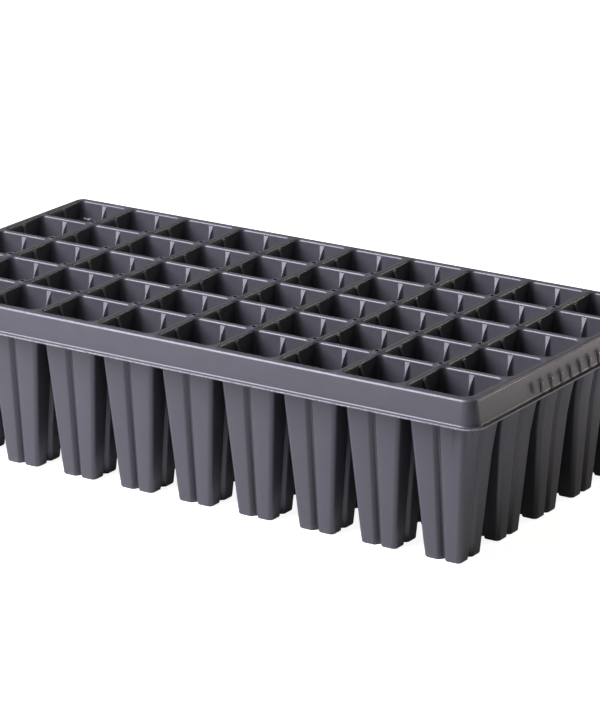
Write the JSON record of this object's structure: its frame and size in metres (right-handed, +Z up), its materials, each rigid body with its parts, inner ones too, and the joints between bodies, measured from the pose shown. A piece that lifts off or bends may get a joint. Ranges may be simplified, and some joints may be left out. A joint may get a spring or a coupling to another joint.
{
  "type": "plug_tray",
  "caption": "Deep-cell plug tray: a grid of tapering square cells with grooved walls hangs from one deck inside a rounded, skirted and flanged rim; each cell has a drain hole.",
  "frame": {"origin": "the middle of the tray on the plane that its feet stand on", "axes": "+X along the ten columns, +Y along the five rows towards the back, +Z up out of the cells' mouths"},
  "size_m": [0.54, 0.2816, 0.126],
  "materials": {
    "tray_plastic": "dark charcoal thermoformed sheet, satin, with a faint violet cast"
  },
  "bodies": {
    "root": {"cell_r1_c01": "tray_plastic", "cell_r1_c02": "tray_plastic", "cell_r1_c03": "tray_plastic", "cell_r1_c04": "tray_plastic", "cell_r1_c05": "tray_plastic", "cell_r1_c06": "tray_plastic", "cell_r1_c07": "tray_plastic", "cell_r1_c08": "tray_plastic", "cell_r1_c09": "tray_plastic", "cell_r1_c10": "tray_plastic", "cell_r2_c01": "tray_plastic", "cell_r2_c02": "tray_plastic", "cell_r2_c03": "tray_plastic", "cell_r2_c04": "tray_plastic", "cell_r2_c05": "tray_plastic", "cell_r2_c06": "tray_plastic", "cell_r2_c07": "tray_plastic", "cell_r2_c08": "tray_plastic", "cell_r2_c09": "tray_plastic", "cell_r2_c10": "tray_plastic", "cell_r3_c01": "tray_plastic", "cell_r3_c02": "tray_plastic", "cell_r3_c03": "tray_plastic", "cell_r3_c04": "tray_plastic", "cell_r3_c05": "tray_plastic", "cell_r3_c06": "tray_plastic", "cell_r3_c07": "tray_plastic", "cell_r3_c08": "tray_plastic", "cell_r3_c09": "tray_plastic", "cell_r3_c10": "tray_plastic", "cell_r4_c01": "tray_plastic", "cell_r4_c02": "tray_plastic", "cell_r4_c03": "tray_plastic", "cell_r4_c04": "tray_plastic", "cell_r4_c05": "tray_plastic", "cell_r4_c06": "tray_plastic", "cell_r4_c07": "tray_plastic", "cell_r4_c08": "tray_plastic", "cell_r4_c09": "tray_plastic", "cell_r4_c10": "tray_plastic", "cell_r5_c01": "tray_plastic", "cell_r5_c02": "tray_plastic", "cell_r5_c03": "tray_plastic", "cell_r5_c04": "tray_plastic", "cell_r5_c05": "tray_plastic", "cell_r5_c06": "tray_plastic", "cell_r5_c07": "tray_plastic", "cell_r5_c08": "tray_plastic", "cell_r5_c09": "tray_plastic", "cell_r5_c10": "tray_plastic", "row_webs": "tray_plastic", "column_webs": "tray_plastic", "web_junctions": "tray_plastic", "rim_deck": "tray_plastic", "skirt_front": "tray_plastic", "skirt_back": "tray_plastic", "skirt_left": "tray_plastic", "skirt_right": "tray_plastic", "flange": "tray_plastic", "grip_ribs": "tray_plastic"}
  },
  "joints": []
}
